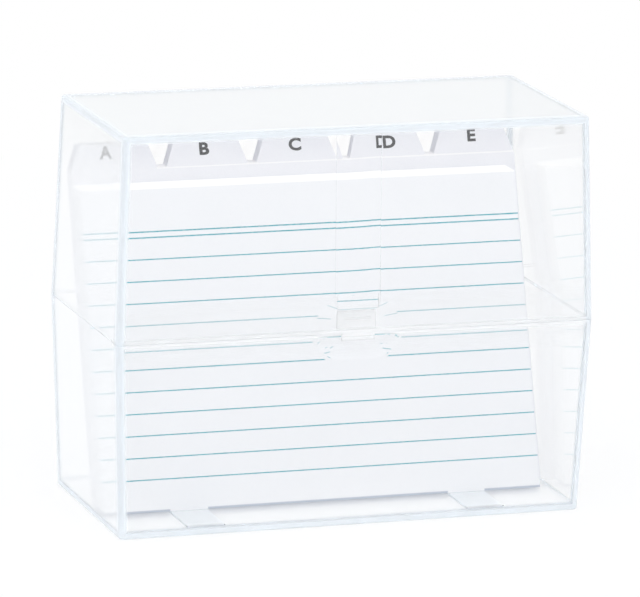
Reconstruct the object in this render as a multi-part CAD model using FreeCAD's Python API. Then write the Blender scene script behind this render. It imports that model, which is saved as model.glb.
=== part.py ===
import FreeCAD, Part
import math
import os

V = FreeCAD.Vector

# Clear hinged card index box for A6 cards laid landscape: tray, lid, two hinge pins,
# a pack of ruled record cards in four bundles and a 25-piece A to Z guide set with
# fifth-cut tabs.
# Millimetres. X is the width, Y runs from the front to the hinge, Z is up.
# The drawing is centred on the box walls; SHIFT_Y then centres the whole row, hinges included.

# ---- box shells --------------------------------------------------------------------
W_BOT, D_BOT = 156.2, 73.4        # outside at the underside
W_SEAM, D_SEAM = 160.8, 78.0      # outside at the parting line, the widest section
W_TOP, D_TOP = 156.6, 73.4        # outside at the top plate
Z_SEAM, H = 64.3, 131.0           # parting line and overall height
WALL, TOP_T = 1.8, 1.8            # walls and top plate
FLOOR_T = 2.4                     # floor plate
R_OUT, R_IN = 1.8, 0.6            # vertical corners
R_EDGE = 0.8                      # rounded edge round the floor and the top plate
RIM_GAP = 0.05                    # each rim stands this far from the parting line
LIP_T, LIP_H = 0.8, 0.8           # locating lip on the tray's rim
LIP_GAP = 0.12                    # lip to lid, sideways
SHIFT_Y = -3.428                  # centres the row, hinges included

# ---- floor ---------------------------------------------------------------------------
PAD_X, PAD_W, PAD_H = (-48.95, 46.2), 12.8, 0.6   # two rest strips, wall to wall under the cards
PAD_Y = D_BOT / 2 - WALL + 0.4                    # their ends, let into the walls

# ---- thumb recess, pull lip, latch tongue ---------------------------------------------
F = -D_SEAM / 2                                   # front plane at the parting line
# each section: width, depth below the parting line, corner radius, place in Y
RECESS = ((28.6, 9.6, 8.6, F - 0.1), (26.6, 8.6, 7.6, F + 0.35), (22.4, 6.5, 5.5, F + 1.5),
          (19.6, 5.1, 4.1, F + 1.8))
BOSS = ((31.0, 10.8, 9.4, F + 1.7), (28.8, 9.7, 8.6, F + 2.2), (24.4, 7.5, 6.5, F + 3.1),
        (21.8, 6.2, 5.2, F + 3.4))                # wall carried round it on the inside
BOSS_Y = BOSS[-1][3]
TONGUE_W, TONGUE_Z, TONGUE_Y = 13.0, Z_SEAM + 7.2, F + 2.3
BEAD_Z, BEAD_R = Z_SEAM + 6.0, 0.38
PULL_W, PULL_Z, PULL_T = 11.0, Z_SEAM - 2.5, 0.9
RELIEF = ((19.6, 6.6, 4.2, F + 1.4), (34.6, 10.6, 8.0, F + 2.4))   # height above the parting line
CATCH_Z, CATCH_R, CATCH_W = Z_SEAM + 4.6, 0.35, 9.0
CHAN_W, CHAN_SIDE, CHAN_MID = 15.2, 0.2, 0.5          # shallow channel up the lid's front
CHAN_Z = Z_SEAM + 7.8                                 # its foot

# ---- hinge -------------------------------------------------------------------------------
HINGE_Y = D_SEAM / 2 + 2.9
HINGE_X = (-42.0, 42.0)
BARREL_R, PIN_R = 2.6, 1.0
PRESS_R, RUN_R = 0.99, 1.06       # pressed in the tray's knuckles, free in the lid's
HINGE_L, MID_L, SIDE_GAP = 24.0, 11.6, 0.2
OPEN_DEG = 105.0                  # the heel on the lid's knuckle meets the tray's wall here
HEEL_R, HEEL_T = 3.9, 1.2

# ---- cards -------------------------------------------------------------------------------
LEAN = 18.0                       # the pack leans back on the lid's rear wall
CARD_W, CARD_H, CARD_T = 148.0, 105.0, 0.21
CARD_X, CARD_Y = -75.95, -16.4    # left edge, and lower front edge of the first card
CARD_PITCH = 0.25
CARD_SPLIT = (10, 10, 9, 9)       # sheets in each bundle, from the front
GUIDE_W, GUIDE_H, TAB_H, GUIDE_T = 151.6, 109.5, 8.2, 0.18
GUIDE_Y, GUIDE_PITCH = -6.75, 0.21
TAB_W, TAB_PITCH, TAB_SLANT, TAB_R = 28.0, 30.9, 3.0, 1.3
Z_CARD = FLOOR_T + PAD_H + 0.1    # lower front edge of every card
LETTERS = ["a", "b", "c", "d", "e", "f", "g", "h", "i", "j", "k", "l", "m", "n", "o",
           "p", "q", "r", "s", "t", "u", "v", "w", "xy", "z"]


def half_d(z):
    """Half the outside depth at a height."""
    if z <= Z_SEAM:
        return (D_BOT + (D_SEAM - D_BOT) * z / Z_SEAM) / 2
    return (D_SEAM + (D_TOP - D_SEAM) * (z - Z_SEAM) / (H - Z_SEAM)) / 2


def half_w(z):
    """Half the outside width at a height."""
    if z <= Z_SEAM:
        return (W_BOT + (W_SEAM - W_BOT) * z / Z_SEAM) / 2
    return (W_SEAM + (W_TOP - W_SEAM) * (z - Z_SEAM) / (H - Z_SEAM)) / 2


def rounded_wire(hw, hd, r, z):
    """Rectangle with rounded corners, half sizes hw and hd."""
    edges = []
    corners = ((hw - r, hd - r, 0), (-hw + r, hd - r, 90), (-hw + r, -hd + r, 180),
               (hw - r, -hd + r, 270))
    ends = []
    for cx, cy, a in corners:
        pts = [V(cx + r * math.cos(math.radians(a + k)), cy + r * math.sin(math.radians(a + k)), z)
               for k in (0, 45, 90)]
        edges.append(Part.Arc(*pts).toShape())
        ends.append((pts[0], pts[2]))
    out = []
    for i in range(4):
        out.append(edges[i])
        out.append(Part.makeLine(ends[i][1], ends[(i + 1) % 4][0]))
    return Part.Wire(out)


def tapered(z0, z1, inset, r):
    """Block between two heights, following the box's draft, inset from the outside."""
    wires = [rounded_wire(half_w(z) - inset, half_d(z) - inset, r, z) for z in (z0, z1)]
    return Part.makeLoft(wires, True, True)


def upright(z0, z1, hw, hd, r):
    """Straight-sided block."""
    return Part.Face(rounded_wire(hw, hd, r, z0)).extrude(V(0, 0, z1 - z0))


def box(x0, x1, y0, y1, z0, z1):
    return Part.makeBox(x1 - x0, y1 - y0, z1 - z0, V(x0, y0, z0))


def across(points, x0, x1):
    """Solid from a closed outline in Y and Z, run along X."""
    wire = Part.makePolygon([V(x0, y, z) for y, z in points + points[:1]])
    return Part.Face(wire).extrude(V(x1 - x0, 0, 0))


def rod(x0, x1, y, z, r):
    return Part.makeCylinder(r, x1 - x0, V(x0, y, z), V(1, 0, 0))


def dish(sections, s):
    """Lofted hollow with a U outline seen from the front, open across the parting line.

    Below the parting line for s = -1, above it for s = 1.
    """
    wires = []
    for w, depth, r, y in sections:
        h = w / 2
        c = math.sqrt(0.5) * r
        z_far, z_open = Z_SEAM + s * depth, Z_SEAM - s * 2.0
        zc = z_far - s * r
        left = Part.Arc(V(-h, y, zc), V(-h + r - c, y, zc + s * c), V(-h + r, y, z_far)).toShape()
        right = Part.Arc(V(h - r, y, z_far), V(h - r + c, y, zc + s * c), V(h, y, zc)).toShape()
        wires.append(Part.Wire([
            Part.makeLine(V(-h, y, z_open), V(-h, y, zc)), left,
            Part.makeLine(V(-h + r, y, z_far), V(h - r, y, z_far)), right,
            Part.makeLine(V(h, y, zc), V(h, y, z_open)),
            Part.makeLine(V(h, y, z_open), V(-h, y, z_open))]))
    return Part.makeLoft(wires, True, True)


def round_rim(shape, z, r):
    """Rounds the outline that lies at height z."""
    edges = [e for e in shape.Edges
             if all(abs(v.Z - z) < 1e-6 for v in e.Vertexes) and abs(e.BoundBox.ZLength) < 1e-6]
    return shape.makeFillet(r, edges)


# ---- tray ----------------------------------------------------------------------------------
z_rim = Z_SEAM - RIM_GAP
tray = round_rim(tapered(0, z_rim, 0, R_OUT), 0, R_EDGE)
tray = tray.cut(tapered(FLOOR_T, Z_SEAM, WALL, R_IN))
hw, hd = W_SEAM / 2 - WALL, D_SEAM / 2 - WALL
lip = upright(z_rim - 0.6, Z_SEAM + LIP_H, hw + LIP_T, hd + LIP_T, R_IN + LIP_T)
lip = lip.cut(upright(z_rim - 1, Z_SEAM + LIP_H + 1, hw, hd, R_IN))
tray = tray.fuse(lip)

# thumb recess in the front wall, with the wall carried round it on the inside
tray = tray.fuse(dish(BOSS, -1).common(box(-20, 20, F, BOSS_Y, Z_SEAM - 15, z_rim)))
tray = tray.cut(dish(RECESS, -1))

# latch tongue standing behind the recess, with a bead near its tip
tongue = across([(TONGUE_Y, z_rim - 2), (BOSS_Y, z_rim - 2), (BOSS_Y, TONGUE_Z - 0.5),
                 (BOSS_Y - 0.35, TONGUE_Z), (TONGUE_Y + 0.35, TONGUE_Z),
                 (TONGUE_Y, TONGUE_Z - 0.35)], -TONGUE_W / 2, TONGUE_W / 2)
tray = tray.fuse([tongue, rod(-TONGUE_W / 2, TONGUE_W / 2, TONGUE_Y, BEAD_Z, BEAD_R)])

# rest strips on the floor
for x in PAD_X:
    pad = box(x - PAD_W / 2, x + PAD_W / 2, -PAD_Y, PAD_Y, FLOOR_T - 0.5, FLOOR_T + PAD_H)
    pad = pad.makeChamfer(0.25, [e for e in pad.Edges if e.BoundBox.YLength > 10 and all(
        v.Z > FLOOR_T + PAD_H - 0.01 for v in e.Vertexes)])
    tray = tray.fuse(pad)

# ---- lid -----------------------------------------------------------------------------------
z_bot = Z_SEAM + RIM_GAP
lid = round_rim(tapered(z_bot, H, 0, R_OUT), H, R_EDGE)
lid = lid.cut(tapered(Z_SEAM, H - TOP_T, WALL, R_IN))
lid = lid.cut(upright(Z_SEAM - 1, Z_SEAM + LIP_H + 0.2, hw + LIP_T + LIP_GAP,
                      hd + LIP_T + LIP_GAP, R_IN + LIP_T + LIP_GAP))

# relief for the tongue, with the catch that sits below its bead
lid = lid.cut(dish(RELIEF, 1))
lid = lid.fuse(rod(-CATCH_W / 2, CATCH_W / 2, RELIEF[0][3], CATCH_Z, CATCH_R))

# shallow channel from the relief up to the top plate, ramped at its foot
y0 = -half_d(CHAN_Z) + WALL
y1 = -half_d(H - TOP_T) + WALL
h = CHAN_W / 2
wire = Part.Wire([
    Part.makeLine(V(-h, y0 + 1, CHAN_Z), V(-h, y0 - CHAN_SIDE, CHAN_Z)),
    Part.Arc(V(-h, y0 - CHAN_SIDE, CHAN_Z), V(0, y0 - CHAN_MID, CHAN_Z),
             V(h, y0 - CHAN_SIDE, CHAN_Z)).toShape(),
    Part.makeLine(V(h, y0 - CHAN_SIDE, CHAN_Z), V(h, y0 + 1, CHAN_Z)),
    Part.makeLine(V(h, y0 + 1, CHAN_Z), V(-h, y0 + 1, CHAN_Z))])
lid = lid.cut(Part.Face(wire).extrude(V(0, y1 - y0, H - TOP_T - CHAN_Z)))
lid = lid.cut(across([(y0 + 1, CHAN_Z - 0.01), (y0 - 0.95, CHAN_Z - 0.01),
                      (y0 - 0.3, CHAN_Z + 4.6), (y0 + 1, CHAN_Z + 4.6)], -7.0, 7.0))

# pull lip hanging into the thumb recess
pull = across([(-D_SEAM / 2, z_bot + 0.8), (-D_SEAM / 2, PULL_Z + 0.3),
               (-D_SEAM / 2 + 0.3, PULL_Z), (-D_SEAM / 2 + PULL_T - 0.2, PULL_Z),
               (-D_SEAM / 2 + PULL_T, PULL_Z + 0.2), (-D_SEAM / 2 + PULL_T, z_bot + 0.8)],
              -PULL_W / 2, PULL_W / 2)
lid = lid.fuse(pull.common(tapered(PULL_Z - 1, Z_SEAM, 0, R_OUT).fuse(
    tapered(Z_SEAM, Z_SEAM + 2, 0, R_OUT))))

# ---- hinges --------------------------------------------------------------------------------
tan_y, tan_z = BARREL_R * math.cos(math.radians(45)), BARREL_R * math.sin(math.radians(45))
wall_y = D_SEAM / 2 - 0.8
pins = []
for x in HINGE_X:
    m = MID_L / 2
    for x0, x1 in ((x - HINGE_L / 2, x - m - SIDE_GAP), (x + m + SIDE_GAP, x + HINGE_L / 2)):
        arm = across([(wall_y, Z_SEAM - 7.5), (half_d(Z_SEAM - 7.5) + 0.2, Z_SEAM - 7.5),
                      (HINGE_Y + tan_y, Z_SEAM - tan_z), (HINGE_Y, Z_SEAM),
                      (wall_y, Z_SEAM - 0.2)], x0, x1)
        tray = tray.fuse([arm, rod(x0, x1, HINGE_Y, Z_SEAM, BARREL_R)])
        tray = tray.cut(rod(x0 - 1, x1 + 1, HINGE_Y, Z_SEAM, PRESS_R))
    arm = across([(wall_y, Z_SEAM + 7.5), (half_d(Z_SEAM + 7.5) + 0.2, Z_SEAM + 7.5),
                  (HINGE_Y + tan_y, Z_SEAM + tan_z), (HINGE_Y, Z_SEAM),
                  (wall_y, Z_SEAM + 0.2)], x - m, x + m)
    # heel: a fin that points back and down when shut, and lies on the tray's wall when open
    gap_y = D_SEAM / 2 - HINGE_Y + 0.08
    a_open = math.acos(-gap_y / HEEL_R)
    a = a_open + math.radians(OPEN_DEG)
    u = V(0, -math.cos(a), -math.sin(a))
    n = V(0, -u.z, u.y)
    root, tip = u * 1.5, u * HEEL_R
    c = V(x - m, HINGE_Y, Z_SEAM)
    heel = Part.Face(Part.makePolygon([c + root, c + tip, c + tip + n * HEEL_T,
                                       c + root + n * HEEL_T, c + root])).extrude(V(MID_L, 0, 0))
    lid = lid.fuse([arm, rod(x - m, x + m, HINGE_Y, Z_SEAM, BARREL_R), heel])
    lid = lid.cut(rod(x - m - 1, x + m + 1, HINGE_Y, Z_SEAM, RUN_R))
    pin = rod(x - HINGE_L / 2, x + HINGE_L / 2, HINGE_Y, Z_SEAM, PIN_R)
    pins.append(pin.makeChamfer(0.2, [e for e in pin.Edges if e.BoundBox.XLength < 1e-6]))

# ---- cards ---------------------------------------------------------------------------------


def leaned(shape, y):
    """Leans a card drawn upright at the origin and sets its lower front edge at y."""
    shape = shape.copy()
    shape.rotate(V(0, 0, 0), V(1, 0, 0), -LEAN)
    shape.translate(V(0, y, Z_CARD))
    return shape


def guide(i):
    """Guide card with its tab in one of five places."""
    c = (i % 5 - 2) * TAB_PITCH
    hw, hb = GUIDE_W / 2, TAB_W / 2
    s0, s1 = GUIDE_H, GUIDE_H + TAB_H
    ht = hb - TAB_SLANT
    sl = math.hypot(TAB_SLANT, TAB_H)
    ux, us = TAB_SLANT / sl, TAB_H / sl
    out = [V(-hw, 0, 0), V(hw, 0, 0), V(hw, 0, s0)]
    if c + hb < hw - 0.01:
        out.append(V(c + hb, 0, s0))
    out.append(V(c + ht + ux * TAB_R, 0, s1 - us * TAB_R))
    out.append(V(c + ht + 0.12 * TAB_R, 0, s1 - 0.3 * TAB_R))
    out.append(V(c + ht - TAB_R, 0, s1))
    out.append(V(c - ht + TAB_R, 0, s1))
    out.append(V(c - ht - 0.12 * TAB_R, 0, s1 - 0.3 * TAB_R))
    out.append(V(c - ht - ux * TAB_R, 0, s1 - us * TAB_R))
    if c - hb > -hw + 0.01:
        out.append(V(c - hb, 0, s0))
    out.append(V(-hw, 0, s0))
    if c - hb <= -hw + 0.01:
        out[-1] = V(c - hb, 0, s0)
    face = Part.Face(Part.makePolygon(out + out[:1]))
    return leaned(face.extrude(V(0, GUIDE_T, 0)), GUIDE_Y + i * GUIDE_PITCH)


blank = Part.makeBox(CARD_W, CARD_T, CARD_H, V(CARD_X, 0, 0))
bundles = []
first = 0
for count in CARD_SPLIT:
    bundles.append(Part.makeCompound([leaned(blank, CARD_Y + i * CARD_PITCH)
                                      for i in range(first, first + count)]))
    first += count

# ---- hand over -----------------------------------------------------------------------------
nodes = {
    "base_shell": tray.removeSplitter(),
    "lid_shell": lid.removeSplitter(),
    "hinge_pin_left": pins[0],
    "hinge_pin_right": pins[1],
}
for i, bundle in enumerate(bundles):
    nodes["record_cards_%d" % (i + 1)] = bundle
for i, letter in enumerate(LETTERS):
    nodes["guide_" + letter] = guide(i)

os.makedirs("parts", exist_ok=True)
for name, shape in nodes.items():
    shape = shape.copy()
    shape.translate(V(0, SHIFT_Y, 0))
    shape.exportStep("parts/" + name + ".step")
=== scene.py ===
"""Clear hinged card index box with ruled cards and lettered tab guides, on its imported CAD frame."""
import math

import bmesh
import bpy
import numpy as np
from mathutils import Matrix, Vector


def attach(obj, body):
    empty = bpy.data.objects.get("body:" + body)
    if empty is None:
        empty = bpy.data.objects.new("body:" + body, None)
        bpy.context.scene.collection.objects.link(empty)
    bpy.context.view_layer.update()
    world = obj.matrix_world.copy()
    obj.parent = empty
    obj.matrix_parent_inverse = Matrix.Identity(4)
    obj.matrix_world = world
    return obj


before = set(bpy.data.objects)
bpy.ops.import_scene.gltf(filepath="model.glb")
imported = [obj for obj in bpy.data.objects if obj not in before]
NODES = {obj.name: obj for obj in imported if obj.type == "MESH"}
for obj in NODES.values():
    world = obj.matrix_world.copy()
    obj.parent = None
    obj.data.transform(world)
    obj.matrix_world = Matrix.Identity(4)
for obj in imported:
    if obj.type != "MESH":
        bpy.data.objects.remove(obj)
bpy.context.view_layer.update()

# Metres, the same values as in the CAD source.
SHIFT_Y = -0.003428          # from the row's origin to the middle of the box walls
W_BOT, W_SEAM, W_TOP, D_SEAM = 0.1562, 0.1608, 0.1566, 0.0780
Z_SEAM, BOX_H = 0.0643, 0.1310
FRONT_Y = SHIFT_Y - D_SEAM / 2
LEAN = math.radians(18.0)
CARD_H, Z_CARD = 0.105, 0.0031
GUIDE_H, GUIDE_Y, GUIDE_PITCH = 0.1095, -0.00675, 0.00021
TAB_H, TAB_PITCH, TAB_W, COLUMNS = 0.0082, 0.0309, 0.0280, 5
PAD_X, PAD_W, PAD_EDGE = (-0.04895, 0.0462), 0.0128, 0.0002
PAD_Z = (0.0026, 0.0034)     # the rest strips' tops lie between these heights

# Print on the cards: depths below a card's top edge.
HEAD_LINES = (0.0142, 0.0161)
FIRST_ROW, ROW = 0.0232, 0.00713
ROWS_FROM, ROWS_TO = 0.020, 0.098
LINE_HALF, LINE_SOFT, HEAD_BOLDER = 0.000155, 0.00006, 1.2

# Looks of the clear plastic.
EDGE_BAND = (0.0018, 0.0028)           # how far the painted pale edge light reaches in, and where it has faded
DEPTH_EDGE = 0.6                       # front and back walls show their painted edge light wider
PAINTED_EDGE_MILK, PAD_MILK, HAZE_MILK, DUST_MILK = 0.75, 0.55, 0.2, 0.6
HAZE_Z, HAZE_BAND = Z_SEAM + 0.0025, (0.006, 0.0115)
DUST_BAND = (0.0009, 0.0015)
SWELL_H, SWELL = 0.0048, 0.00024       # height and depth of the swelling under the tray's rim

LETTERS = "a b c d e f g h i j k l m n o p q r s t u v w xy z".split()


# ---------------------------------------------------------------- node helpers
class Mat:
    """A material's nodes, laid out with short calls."""

    def __init__(self, name):
        self.m = bpy.data.materials.new(name)
        self.m.use_nodes = True
        self.nt = self.m.node_tree
        self.nt.nodes.clear()
        self.out = self.nt.nodes.new("ShaderNodeOutputMaterial")

    def add(self, kind, **values):
        n = self.nt.nodes.new("ShaderNode" + kind)
        for k, v in values.items():
            setattr(n, k, v)
        return n

    def link(self, a, b):
        self.nt.links.new(a, b)

    def math(self, op, a, b=None):
        n = self.add("Math", operation=op)
        for i, v in enumerate((a, b)):
            if v is None:
                continue
            if isinstance(v, (int, float)):
                n.inputs[i].default_value = v
            else:
                self.link(v, n.inputs[i])
        return n.outputs[0]

    def mix(self, fac, a, b):
        n = self.add("Mix", data_type="RGBA")
        for s, v in ((n.inputs[0], fac), (n.inputs[6], a), (n.inputs[7], b)):
            if isinstance(v, (int, float)):
                s.default_value = v
            elif isinstance(v, tuple):
                s.default_value = (*v, 1.0)
            else:
                self.link(v, s)
        return n.outputs[2]

    def off(self, v, centre):
        """How far v is from centre."""
        return self.math("ABSOLUTE", self.math("SUBTRACT", v, centre))

    def noise(self, vec, scale, detail=3.0, rough=0.5):
        n = self.add("TexNoise")
        n.inputs["Scale"].default_value = scale
        n.inputs["Detail"].default_value = detail
        n.inputs["Roughness"].default_value = rough
        self.link(vec, n.inputs["Vector"])
        return n.outputs["Fac"]

    def ramp(self, fac, lo, hi):
        """Straight from lo's value to hi's as fac goes from lo's place to hi's, level beyond."""
        n = self.add("MapRange")
        n.inputs["From Min"].default_value, n.inputs["From Max"].default_value = lo[0], hi[0]
        n.inputs["To Min"].default_value, n.inputs["To Max"].default_value = lo[1], hi[1]
        self.link(fac, n.inputs["Value"])
        return n.outputs["Result"]

    def bump(self, height, strength, distance, normal=None):
        n = self.add("Bump")
        if normal is not None:
            self.link(normal, n.inputs["Normal"])
        n.inputs["Strength"].default_value = strength
        n.inputs["Distance"].default_value = distance
        self.link(height, n.inputs["Height"])
        return n.outputs["Normal"]


def assign(ob, mat):
    ob.data.materials.clear()
    ob.data.materials.append(mat)


# ---------------------------------------------------------------- materials
def clear_plastic(name):
    """Crystal polystyrene: water clear, with painted pale blue edge light where its walls meet and a
    painted reflection haze along the seam.
    """
    k = Mat(name)
    p = k.add("BsdfPrincipled")
    p.inputs["IOR"].default_value = 1.56
    p.inputs["Specular IOR Level"].default_value = 0.5
    co = k.add("TexCoord").outputs["Object"]
    sep = k.add("SeparateXYZ")
    k.link(co, sep.inputs[0])
    x, y, z = sep.outputs
    # how far the walls stand in from their widest at the seam
    below = k.math("MULTIPLY", k.math("SUBTRACT", Z_SEAM, z), (W_SEAM - W_BOT) / 2 / Z_SEAM)
    above = k.math("MULTIPLY", k.math("SUBTRACT", z, Z_SEAM),
                   (W_SEAM - W_TOP) / 2 / (BOX_H - Z_SEAM))
    draft = k.math("MAXIMUM", below, above)
    # how deep a point lies under each pair of outer faces, and under the second nearest
    ex = k.math("SUBTRACT", k.math("SUBTRACT", W_SEAM / 2, draft), k.math("ABSOLUTE", x))
    ey = k.math("SUBTRACT", k.math("SUBTRACT", D_SEAM / 2, draft), k.off(y, SHIFT_Y))
    skin = k.math("MULTIPLY", k.math("LESS_THAN", ey, 0.0006), k.math("LESS_THAN", y, SHIFT_Y))
    ey = k.math("MULTIPLY", ey, DEPTH_EDGE)
    ez = k.math("MINIMUM", z, k.math("SUBTRACT", BOX_H, z))
    second = k.math("MAXIMUM", k.math("MINIMUM", ex, ey),
                    k.math("MINIMUM", k.math("MAXIMUM", ex, ey), ez))
    wide = k.noise(co, 38.0, 4.0, 0.55)
    fine = k.noise(co, 420.0, 2.0, 0.5)
    # painted edge light: a pale blue band where the walls meet, standing in for light seen along the
    # edges
    edge = k.ramp(second, (EDGE_BAND[0], 1.0), (EDGE_BAND[1], 0.0))
    edge = k.math("MULTIPLY", edge, k.ramp(wide, (0.3, 0.9), (0.7, 1.0)))
    # the rest strips are left satin by the mould
    pad = k.math("MULTIPLY", k.math("GREATER_THAN", z, PAD_Z[0]), k.math("LESS_THAN", z, PAD_Z[1]))
    over = [k.math("LESS_THAN", k.off(x, c), PAD_W / 2 + PAD_EDGE) for c in PAD_X]
    pad = k.math("MULTIPLY", k.math("MULTIPLY", pad, k.math("MAXIMUM", *over)),
                 k.math("GREATER_THAN", ey, 0.002))
    # a thin film of dust, which shows where a wall is seen at a slant; its tone turns greyer near the
    # top
    lw = k.add("LayerWeight")
    lw.inputs["Blend"].default_value = 0.5
    film = k.ramp(lw.outputs["Facing"], (0.5, 0.0), (0.8, 0.5))
    film_tone = k.mix(k.ramp(z, (0.108, 0.0), (0.128, 1.0)),
                  (0.965, 0.975, 0.985), (0.81, 0.83, 0.84))
    tone = k.mix(k.math("MULTIPLY", film, 2.0), (1.0, 1.0, 1.0), film_tone)
    tone = k.mix(edge, tone, (0.905, 0.945, 0.975))
    k.link(k.mix(pad, tone, (0.84, 0.88, 0.92)), p.inputs["Base Color"])
    # a painted reflection on the front wall round the seam and the clasp, a milky band roughened by
    # handling marks, and dust in the parting line
    front = k.math("LESS_THAN", y, FRONT_Y + 0.006)
    at_seam = k.math("MULTIPLY", front, k.ramp(
        k.off(z, HAZE_Z), (HAZE_BAND[0], 1.0), (HAZE_BAND[1], 0.0)))
    parting = k.math("MULTIPLY", front, k.ramp(
        k.off(z, Z_SEAM), (DUST_BAND[0], DUST_MILK), (DUST_BAND[1], 0.0)))
    milky = k.math("MULTIPLY", edge, PAINTED_EDGE_MILK)
    for part in (film, k.math("MULTIPLY", pad, PAD_MILK), k.math("MULTIPLY", at_seam, HAZE_MILK),
                 parting):
        milky = k.math("MAXIMUM", milky, part)
    k.link(k.math("SUBTRACT", 1.0, milky), p.inputs["Transmission Weight"])
    scuff = k.math("MULTIPLY", at_seam, k.ramp(wide, (0.3, 0.01), (0.7, 0.03)))
    rough = k.math("ADD", k.ramp(wide, (0.45, 0.004), (0.8, 0.03)), scuff)
    k.link(rough, p.inputs["Roughness"])
    h = k.math("ADD", k.math("MULTIPLY", wide, 0.8), k.math("MULTIPLY", fine, 0.05))
    # the tray's front swells into its rim, which shifts what is seen through it
    swell = k.math("MULTIPLY", skin, k.ramp(z, (Z_SEAM - SWELL_H, 0.0), (Z_SEAM, SWELL)))
    k.link(k.bump(h, 0.05, 0.0004, k.bump(swell, 1.0, 1.0)), p.inputs["Normal"])
    k.link(p.outputs[0], k.out.inputs["Surface"])
    v = k.add("VolumeAbsorption")
    v.inputs["Color"].default_value = (0.40, 0.70, 0.97, 1)
    v.inputs["Density"].default_value = 0.8
    k.link(v.outputs[0], k.out.inputs["Volume"])
    return k.m


def card_coords(k):
    """A point's place, its x and z, and its height measured along a leaning card."""
    co = k.add("TexCoord").outputs["Object"]
    sep = k.add("SeparateXYZ")
    k.link(co, sep.inputs[0])
    x, _, z = sep.outputs
    # every sheet has the same z at its lower edge, so z alone tells the height on each of them
    return co, x, z, k.math("DIVIDE", k.math("SUBTRACT", z, Z_CARD), math.cos(LEAN))


def band(k, v, centre, half):
    """1 within half of centre, fading to 0 beyond it as a printed line does."""
    return k.ramp(k.off(v, centre), (half, 1.0), (half + LINE_SOFT, 0.0))


def record_paper():
    """White record card with a double head line and eleven feint lines, printed blue."""
    k = Mat("card_paper_ruled")
    p = k.add("BsdfPrincipled")
    co, x, z, up = card_coords(k)
    fibre = k.noise(co, 900.0, 3.0, 0.6)
    cloud = k.noise(co, 30.0, 2.0, 0.5)
    paper = k.mix(cloud, (0.825, 0.84, 0.87), (0.855, 0.865, 0.89))
    paper = k.mix(k.ramp(fibre, (0.35, 0.0), (0.7, 0.10)), paper, (0.76, 0.78, 0.83))
    down = k.math("SUBTRACT", CARD_H, up)
    head = k.math("MAXIMUM", *[band(k, down, at, LINE_HALF * HEAD_BOLDER) for at in HEAD_LINES])
    phase = k.math("MODULO", k.math("SUBTRACT", down, FIRST_ROW - ROW / 2), ROW)
    rows = band(k, phase, ROW / 2, LINE_HALF)
    inside = k.math("MULTIPLY", k.math("GREATER_THAN", down, ROWS_FROM),
                    k.math("LESS_THAN", down, ROWS_TO))
    line = k.math("MAXIMUM", head, k.math("MULTIPLY", rows, inside))
    # printed on the faces only: not on the cut edges
    geo = k.add("NewGeometry")
    sepn = k.add("SeparateXYZ")
    k.link(geo.outputs["Normal"], sepn.inputs[0])
    flat = k.math("GREATER_THAN", k.math("ABSOLUTE", sepn.outputs[1]), 0.6)
    line = k.math("MULTIPLY", line, flat)
    worn = k.noise(co, 1500.0, 2.0, 0.5)
    line = k.math("MULTIPLY", line, k.ramp(worn, (0.3, 0.75), (0.6, 1.0)))
    # painted highlight: paler just under the card's top edge
    rim = k.ramp(down, (0.0001, 1.0), (0.0005, 0.0))
    paper = k.mix(rim, paper, (0.98, 0.98, 0.985))
    # painted shadow: a dark line along the cards' lower edge, for the shade in the gap under them
    gap_shadow = k.ramp(z, (Z_CARD + 0.0004, 0.8), (Z_CARD + 0.0008, 0.0))
    for c in PAD_X:          # the strips bear the cards, so no painted shadow shows over them
        gap_shadow = k.math("MULTIPLY", gap_shadow, k.math("GREATER_THAN", k.off(x, c), PAD_W / 2))
    paper = k.mix(gap_shadow, paper, (0.34, 0.395, 0.50))
    k.link(k.mix(line, paper, (0.01, 0.345, 0.43)), p.inputs["Base Color"])
    k.link(k.ramp(fibre, (0.3, 0.62), (0.7, 0.78)), p.inputs["Roughness"])
    p.inputs["Specular IOR Level"].default_value = 0.3
    k.link(k.bump(fibre, 0.15, 0.00008), p.inputs["Normal"])
    k.link(p.outputs[0], k.out.inputs["Surface"])
    return k.m


def tab_x(col):
    """Middle of a tab, for its column."""
    return (col - COLUMNS // 2) * TAB_PITCH


def guide_board(col):
    """Smooth index board, a little greyer than the cards, with a painted highlight along its cut top
    and painted shade on its tabs.
    """
    k = Mat(f"guide_card_board_{col + 1}")
    p = k.add("BsdfPrincipled")
    co, x, _, up = card_coords(k)
    fibre = k.noise(co, 1100.0, 3.0, 0.6)
    cloud = k.noise(co, 45.0, 3.0, 0.5)
    board = k.mix(cloud, (0.775, 0.785, 0.825), (0.815, 0.82, 0.855))
    board = k.mix(k.ramp(fibre, (0.4, 0.0), (0.7, 0.12)), board, (0.68, 0.68, 0.745))
    # painted shade: the tabs darken towards their tops, in patches
    tab_shade = k.ramp(up, (GUIDE_H - 0.001, 0.0), (GUIDE_H + TAB_H * 0.7, 1.0))
    tab_shade = k.math("MULTIPLY", tab_shade, k.ramp(cloud, (0.35, 0.1), (0.65, 0.8)))
    board = k.mix(tab_shade, board, (0.72, 0.73, 0.785))
    # painted highlight: paler just under the shoulders beside the tab, and along the tab's top
    shoulder = k.math("SUBTRACT", GUIDE_H, up)
    cut = k.math("MULTIPLY", k.ramp(shoulder, (0.0002, 1.0), (0.0005, 0.0)),
                 k.math("GREATER_THAN", shoulder, -0.0002))
    off_tab = k.math("GREATER_THAN", k.off(x, tab_x(col)), TAB_W / 2 - 0.0005)
    cut = k.math("MULTIPLY", cut, off_tab)
    top = k.ramp(k.math("SUBTRACT", GUIDE_H + TAB_H, up), (0.0001, 1.0), (0.0003, 0.0))
    board = k.mix(k.math("MAXIMUM", cut, top), board, (0.89, 0.89, 0.905))
    k.link(board, p.inputs["Base Color"])
    k.link(k.ramp(fibre, (0.3, 0.5), (0.7, 0.66)), p.inputs["Roughness"])
    k.link(k.bump(fibre, 0.12, 0.00006), p.inputs["Normal"])
    k.link(p.outputs[0], k.out.inputs["Surface"])
    return k.m


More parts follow.
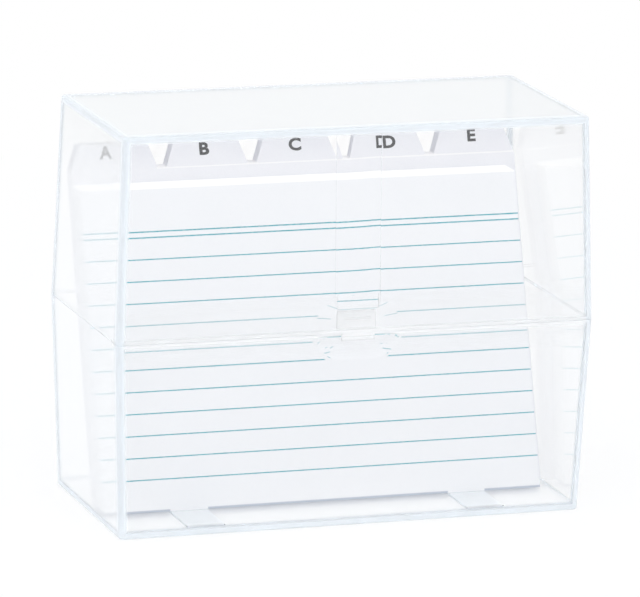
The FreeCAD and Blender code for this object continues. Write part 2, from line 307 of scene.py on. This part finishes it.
def letter_ink():
    """Printed black, with slight press mottle."""
    k = Mat("index_ink")
    p = k.add("BsdfPrincipled")
    co = k.add("TexCoord").outputs["Object"]
    n = k.noise(co, 2200.0, 2.0, 0.5)
    k.link(k.mix(n, (0.012, 0.013, 0.016), (0.032, 0.034, 0.04)), p.inputs["Base Color"])
    k.link(k.ramp(n, (0.3, 0.4), (0.7, 0.55)), p.inputs["Roughness"])
    k.link(p.outputs[0], k.out.inputs["Surface"])
    return k.m


def pin_steel():
    """Drawn steel wire, with fine marks along it."""
    k = Mat("hinge_pin_steel")
    p = k.add("BsdfPrincipled")
    p.inputs["Metallic"].default_value = 1.0
    co = k.add("TexCoord").outputs["Object"]
    mp = k.add("Mapping")
    mp.inputs["Scale"].default_value = (40.0, 1500.0, 1500.0)
    k.link(co, mp.inputs["Vector"])
    n = k.noise(mp.outputs[0], 1.0, 3.0, 0.6)
    k.link(k.mix(n, (0.50, 0.51, 0.53), (0.66, 0.67, 0.69)), p.inputs["Base Color"])
    k.link(k.ramp(n, (0.3, 0.22), (0.7, 0.38)), p.inputs["Roughness"])
    k.link(k.bump(n, 0.2, 0.00003), p.inputs["Normal"])
    k.link(p.outputs[0], k.out.inputs["Surface"])
    return k.m


plastic = clear_plastic("clear_polystyrene")
paper, ink, steel = record_paper(), letter_ink(), pin_steel()
boards = [guide_board(i) for i in range(COLUMNS)]
for name, ob in NODES.items():
    if name in ("base_shell", "lid_shell"):
        assign(ob, plastic)
    elif name.startswith("hinge_pin"):
        assign(ob, steel)
    elif name.startswith("record_cards"):
        assign(ob, paper)
    else:
        assign(ob, boards[LETTERS.index(name[len("guide_"):]) % COLUMNS])

# ---------------------------------------------------------------- index letters
LETTER_H, LETTER_WIDE = 0.0042, 1.12     # cap height, and how far the face is widened
NARROWER = {"a": 0.87, "v": 0.87}        # the two with slanting strokes less so
PRINT_X = (-0.0019, -0.0007, -0.0003, 0.0016, -0.0003)    # each column's print off its tab's middle
PRINT_S = (0.0, 0.0, 0.0, -0.0007, 0.0002)                # and off its usual height
TOP_MARGIN = 0.0006                                       # from a tab's top to its letter
INK_MID, INK_T = 0.000005, 0.00003       # the ink's middle lies in front of the face; its thickness


def glyph(text):
    """One bold capital as a closed mesh of unit thickness, and its points."""
    cu = bpy.data.curves.new("glyph", "FONT")
    cu.body = text.upper()
    cu.size = 1.0
    cu.offset = 0.036
    cu.resolution_u = 4
    cu.extrude = 0.5
    tmp = bpy.data.objects.new("glyph", cu)
    bpy.context.scene.collection.objects.link(tmp)
    bpy.context.view_layer.update()
    dg = bpy.context.evaluated_depsgraph_get()
    me = bpy.data.meshes.new_from_object(tmp.evaluated_get(dg))
    bpy.data.objects.remove(tmp)
    seams = bmesh.new()
    seams.from_mesh(me)
    bmesh.ops.remove_doubles(seams, verts=seams.verts, dist=1e-5)
    seams.to_mesh(me)
    seams.free()
    return me, np.array([v.co for v in me.vertices], float).reshape(-1, 3)


_, h_pts = glyph("H")
CAP0, CAP = h_pts[:, 1].min(), np.ptp(h_pts[:, 1])


def letter(text, i):
    """Bold capital printed on a tab: 0.02 mm of ink on the guide's face, and 0.01 mm in it."""
    me, co = glyph(text)
    f = LETTER_H / CAP
    co[:, 0] -= (co[:, 0].min() + co[:, 0].max()) / 2
    col = i % COLUMNS
    x = co[:, 0] * f * LETTER_WIDE * NARROWER.get(text, 1.0) + tab_x(col) + PRINT_X[col]
    s = (co[:, 1] - CAP0) * f + GUIDE_H + TAB_H - TOP_MARGIN - LETTER_H + PRINT_S[col]
    w = -INK_MID - co[:, 2] * INK_T
    y = GUIDE_Y + i * GUIDE_PITCH + SHIFT_Y + s * math.sin(LEAN) + w * math.cos(LEAN)
    z = Z_CARD + s * math.cos(LEAN) - w * math.sin(LEAN)
    for v, a, b, c in zip(me.vertices, x, y, z):
        v.co = (a, b, c)
    ob = bpy.data.objects.new("letter_" + text, me)
    bpy.context.scene.collection.objects.link(ob)
    assign(ob, ink)
    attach(ob, "index_" + text)


for i, t in enumerate(LETTERS):
    letter(t, i)

# ---------------------------------------------------------------- floor, light, camera
floor_me = bpy.data.meshes.new("floor")
bm = bmesh.new()
bmesh.ops.create_grid(bm, x_segments=1, y_segments=1, size=6.0)
bm.to_mesh(floor_me)
bm.free()
floor = bpy.data.objects.new("floor", floor_me)
floor.location = (0, 0, -0.0001)
bpy.context.scene.collection.objects.link(floor)
k = Mat("floor_white")
p = k.add("BsdfPrincipled")
p.inputs["Base Color"].default_value = (0.95, 0.95, 0.95, 1)
p.inputs["Roughness"].default_value = 0.9
e = k.add("Emission")
e.inputs["Color"].default_value = (1, 1, 1, 1)
e.inputs["Strength"].default_value = 1.0
lp = k.add("LightPath")
see = k.math("MAXIMUM", lp.outputs["Is Camera Ray"], k.math(
    "MAXIMUM", lp.outputs["Is Transmission Ray"], lp.outputs["Is Glossy Ray"]))
mixs = k.add("MixShader")
# the object's shadow stays near it; further off the floor runs out to plain white
away = k.add("VectorMath", operation="LENGTH")
k.link(k.add("TexCoord").outputs["Object"], away.inputs[0])
whiteness = k.ramp(away.outputs["Value"], (0.25, 0.7), (0.55, 1.0))
k.link(k.math("MULTIPLY", see, whiteness), mixs.inputs[0])
k.link(p.outputs[0], mixs.inputs[1])
k.link(e.outputs[0], mixs.inputs[2])
k.link(mixs.outputs[0], k.out.inputs["Surface"])
assign(floor, k.m)

world = bpy.data.worlds.new("studio")
bpy.context.scene.world = world
world.use_nodes = True
nt = world.node_tree
nt.nodes.clear()
wout = nt.nodes.new("ShaderNodeOutputWorld")
soft = nt.nodes.new("ShaderNodeBackground")
soft.inputs["Color"].default_value = (0.95, 0.97, 1.0, 1)
soft.inputs["Strength"].default_value = 1.0
white = nt.nodes.new("ShaderNodeBackground")
white.inputs["Color"].default_value = (1, 1, 1, 1)
white.inputs["Strength"].default_value = 1.0
wlp = nt.nodes.new("ShaderNodeLightPath")
mx = nt.nodes.new("ShaderNodeMath")
mx.operation = "MAXIMUM"
mx2 = nt.nodes.new("ShaderNodeMath")
mx2.operation = "MAXIMUM"
nt.links.new(wlp.outputs["Is Camera Ray"], mx.inputs[0])
nt.links.new(wlp.outputs["Is Transmission Ray"], mx.inputs[1])
nt.links.new(mx.outputs[0], mx2.inputs[0])
nt.links.new(wlp.outputs["Is Glossy Ray"], mx2.inputs[1])
wm = nt.nodes.new("ShaderNodeMixShader")
nt.links.new(mx2.outputs[0], wm.inputs[0])
nt.links.new(soft.outputs[0], wm.inputs[1])
nt.links.new(white.outputs[0], wm.inputs[2])
nt.links.new(wm.outputs[0], wout.inputs["Surface"])


def area(name, loc, aim, size, energy):
    li = bpy.data.lights.new(name, "AREA")
    li.shape = "RECTANGLE"
    li.size, li.size_y = size
    li.energy = energy
    ob = bpy.data.objects.new(name, li)
    ob.location = loc
    ob.rotation_mode = "QUATERNION"
    ob.rotation_quaternion = (Vector(aim) - Vector(loc)).to_track_quat("-Z", "Y")
    # no lamp shows mirrored in the plastic as a grey patch
    ob.visible_camera = ob.visible_glossy = False
    bpy.context.scene.collection.objects.link(ob)
    return ob


area("key_top", (-0.25, -0.25, 0.95), (0, 0, 0.05), (0.9, 0.7), 1.6)
area("fill_front", (0.35, -1.1, 0.45), (0, 0, 0.06), (0.8, 0.6), 0.5)

F_PX, FRAME_W = 6000.0, 640          # focal length and picture width, in pixels
az, el, roll = math.radians(-18.619), math.radians(13.006), math.radians(1.177)
tx, ty, dist = -0.000037, 0.001746, 1.957568
back = Vector((math.sin(az) * math.cos(el), -math.cos(az) * math.cos(el), math.sin(el)))
right = Vector((math.cos(az), math.sin(az), 0.0))
up = back.cross(right)
r = right * math.cos(roll) + up * math.sin(roll)
u = up * math.cos(roll) - right * math.sin(roll)
target = Vector((0, SHIFT_Y, 0.065)) + r * tx + u * ty
cam_data = bpy.data.cameras.new("camera")
cam = bpy.data.objects.new("camera", cam_data)
bpy.context.scene.collection.objects.link(cam)
cam_data.sensor_width = 36.0
cam_data.lens = F_PX / FRAME_W * cam_data.sensor_width
cam.matrix_world = Matrix((
    (r.x, u.x, back.x, 0), (r.y, u.y, back.y, 0), (r.z, u.z, back.z, 0), (0, 0, 0, 1)))
cam.location = target + back * dist
cam_data.clip_start, cam_data.clip_end = 0.1, 50.0
bpy.context.scene.camera = cam
bpy.context.scene.view_settings.view_transform = "Standard"

# light travels a long way inside clear walls before it comes out at their edges
cy = bpy.context.scene.cycles
cy.max_bounces, cy.glossy_bounces, cy.transmission_bounces = 1000, 1000, 1000
cy.diffuse_bounces = 64
cy.blur_glossy = 0.0
